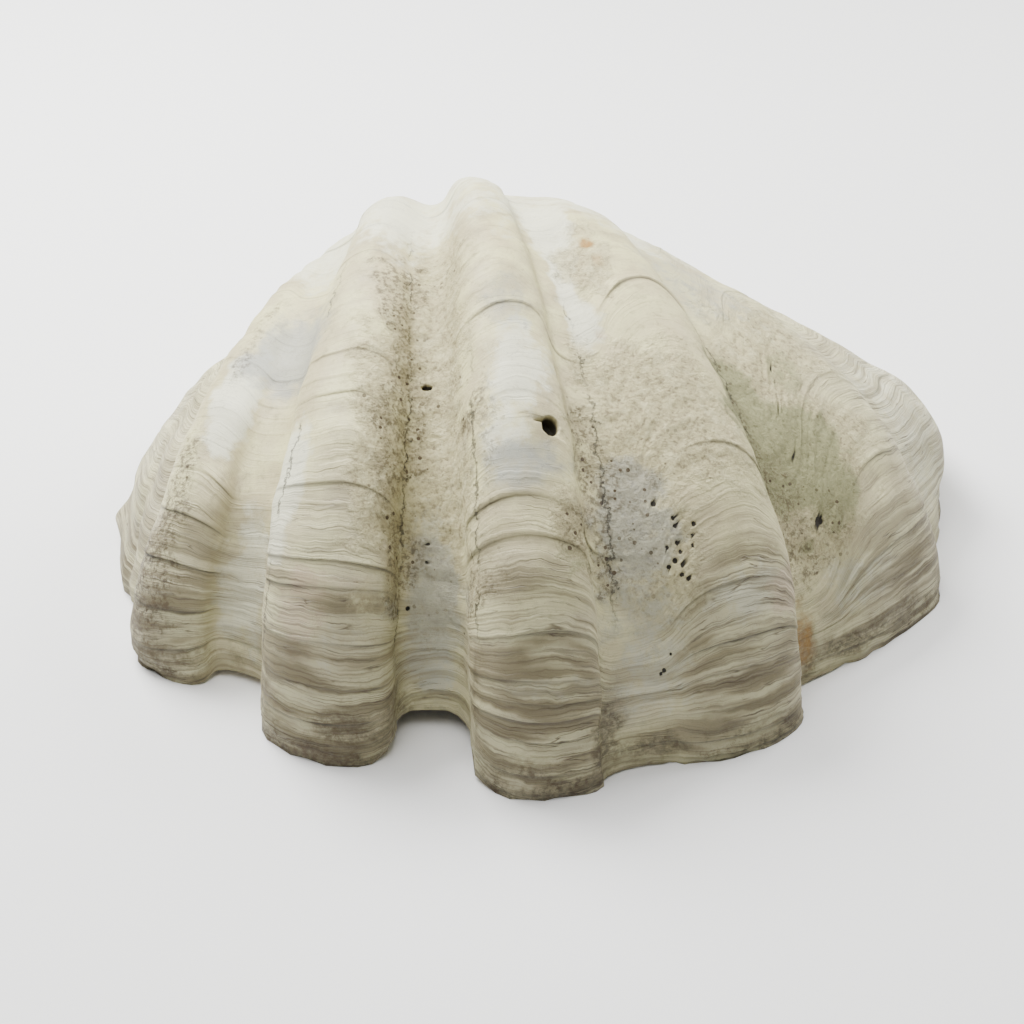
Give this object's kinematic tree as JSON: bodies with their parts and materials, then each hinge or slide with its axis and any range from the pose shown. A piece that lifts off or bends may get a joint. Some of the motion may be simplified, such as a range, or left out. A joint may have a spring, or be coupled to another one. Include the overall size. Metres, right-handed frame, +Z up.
{
  "type": "giant clam shell",
  "caption": "One valve of a giant clam, ribbed side up: deep rounded folds fan out from the beak to a wavy rim, over a smooth hollow.",
  "frame": {"origin": "centre of the valve's box, on the surface it lies on", "axes": "+X to the right along the hinge, -Y towards the wavy rim, +Z up through the crown of the valve"},
  "size_m": [0.7531, 0.6162, 0.2925],
  "materials": {
    "shell": "weathered chalky shell, cream with tan and grey growth bands outside, smoother and whiter inside"
  },
  "bodies": {
    "root": {"clam_valve": "shell"}
  },
  "joints": []
}
